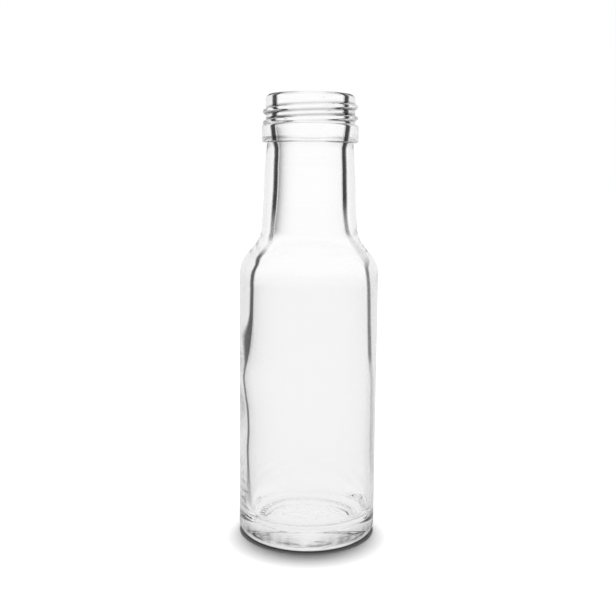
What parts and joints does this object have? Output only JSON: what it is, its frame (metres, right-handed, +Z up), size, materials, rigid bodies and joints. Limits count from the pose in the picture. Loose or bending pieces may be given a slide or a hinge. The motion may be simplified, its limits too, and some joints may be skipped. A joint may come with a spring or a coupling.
{
  "type": "glass bottle",
  "caption": "Small clear cylindrical bottle with a tall straight neck and a screw finish above a locking ring; empty, no cap, thick base.",
  "frame": {"origin": "centre of the base, on the surface the bottle stands on", "axes": "+Z up along the bottle's axis, +Y towards the back; the screw thread rises to the right as seen from any side"},
  "size_m": [0.044, 0.044, 0.14],
  "materials": {
    "glass": "clear colourless container glass, fire polished, slightly uneven inside"
  },
  "bodies": {
    "root": {"bottle": "glass"}
  },
  "joints": []
}
